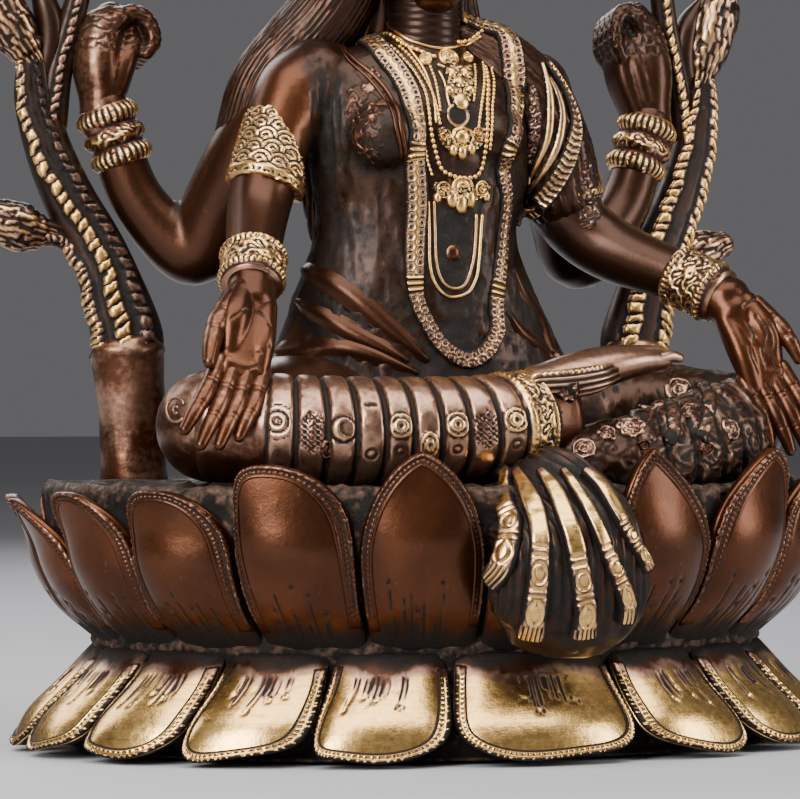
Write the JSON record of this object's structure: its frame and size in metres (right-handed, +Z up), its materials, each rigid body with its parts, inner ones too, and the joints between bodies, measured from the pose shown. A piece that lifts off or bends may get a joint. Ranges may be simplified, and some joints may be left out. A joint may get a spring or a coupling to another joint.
{
  "type": "seated goddess figure on a double lotus",
  "caption": "Cast brass figure of a seated goddess with raised and lowered arms, a tall crown and lotus stems at both sides, on an oval double lotus seat",
  "frame": {"origin": "middle of the flat underside of the seat, which is the plane it stands on", "axes": "+Z up, the figure faces -Y, her left hand is towards +X"},
  "size_m": [0.3111, 0.2311, 0.383],
  "materials": {
    "patinated_brass": "cast brass with a glossy reddish brown patina, raised ornament rubbed back to bright brass, dark dust in the hollows"
  },
  "bodies": {
    "root": {"lakshmi_on_lotus": "patinated_brass"}
  },
  "joints": []
}
